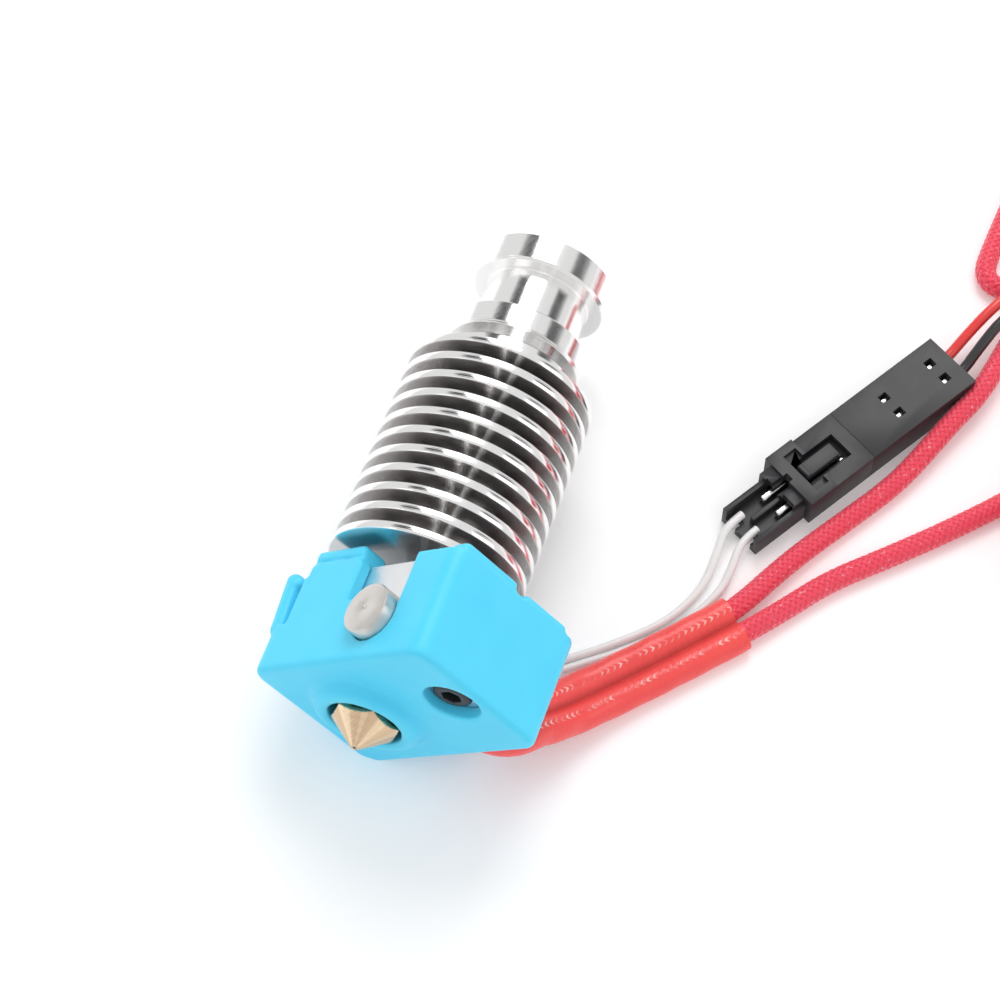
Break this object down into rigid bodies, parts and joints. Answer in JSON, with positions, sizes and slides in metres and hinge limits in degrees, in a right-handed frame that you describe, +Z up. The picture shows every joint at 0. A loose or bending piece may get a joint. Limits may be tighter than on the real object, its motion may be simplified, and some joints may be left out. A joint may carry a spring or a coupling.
{
  "type": "3d printer hotend",
  "caption": "Finned filament hotend with a brass nozzle, a heater block in a blue silicone sock, a braided heater cord and a small latched sensor connector.",
  "frame": {"origin": "centre of the mounting groove, on the filament axis, with the hotend lying on its side as it rests on a table", "axes": "+Y along the filament axis from the nozzle towards the tube end, +Z up from the table, +X towards the leads"},
  "size_m": [0.1355, 0.136, 0.0293],
  "materials": {
    "turned_aluminium": "fine turned, slightly grey between the fins",
    "block_aluminium": "machined, bead blasted",
    "brass": "machined, pale gold",
    "stainless": "turned steel",
    "screw_black": "black-oxided steel",
    "liner_white": "translucent white tube",
    "collet_black": "moulded",
    "ceramic_white": "fired ceramic and cement",
    "bead_glass": "small sealed bead",
    "silicone_blue": "satin silicone, light blue",
    "sleeve_red": "glossy heat-shrunk tube",
    "braid_red": "woven glass-fibre braid",
    "lead_white": "smooth insulation",
    "connector_black": "moulded, matt",
    "terminal_tin": "tinned, stamped",
    "insulation_red": "glossy insulation",
    "insulation_black": "glossy insulation",
    "band_grey": "flat coated tie",
    "ferrule_tin": "crimped, tinned"
  },
  "bodies": {
    "hotend": {"heat_sink": "turned_aluminium", "collet_ring": "brass", "liner_tube": "liner_white", "heat_break": "stainless", "heater_block": "block_aluminium", "nozzle": "brass", "clamp_screw": "screw_black", "thermistor_grub_screw": "stainless", "cartridge_shell": "stainless", "cartridge_core": "ceramic_white", "cartridge_end_plug": "ceramic_white", "thermistor_sleeve": "stainless", "thermistor_potting": "ceramic_white", "thermistor_bead": "bead_glass", "silicone_sock": "silicone_blue", "lead_sleeve": "sleeve_red", "thermistor_lead_a": "lead_white", "thermistor_lead_b": "lead_white", "plug_housing": "connector_black", "plug_terminals": "terminal_tin", "socket_housing": "connector_black", "socket_terminals": "terminal_tin", "heater_lead_a": "braid_red", "heater_lead_a_coil": "braid_red", "heater_lead_a_band": "band_grey", "heater_lead_a_ferrule": "ferrule_tin", "heater_lead_b": "braid_red", "heater_lead_b_coil": "braid_red", "heater_lead_b_band": "band_grey", "heater_lead_b_ferrule": "ferrule_tin", "extension_lead_red": "insulation_red", "extension_lead_red_coil": "insulation_red", "extension_lead_red_band": "band_grey", "extension_lead_red_ferrule": "ferrule_tin", "extension_lead_black": "insulation_black", "extension_lead_black_coil": "insulation_black", "extension_lead_black_band": "band_grey", "extension_lead_black_ferrule": "ferrule_tin"},
    "collet": {"collet": "collet_black"},
    "latch": {"latch_lever": "connector_black"}
  },
  "joints": [
    {"name": "collet_push", "type": "slide", "parent": "hotend", "child": "collet", "axis": [0, -1, 0], "range_m": [0, 0.00095], "stiffness_N_per_m": 200},
    {"name": "latch_press", "type": "hinge", "parent": "hotend", "child": "latch", "pos_m": [0.03723, -0.00009, -0.00877], "axis": [-0.8572, 0.515, 0], "range_deg": [-8, 0], "stiffness_Nm_per_rad": 0.02}
  ]
}
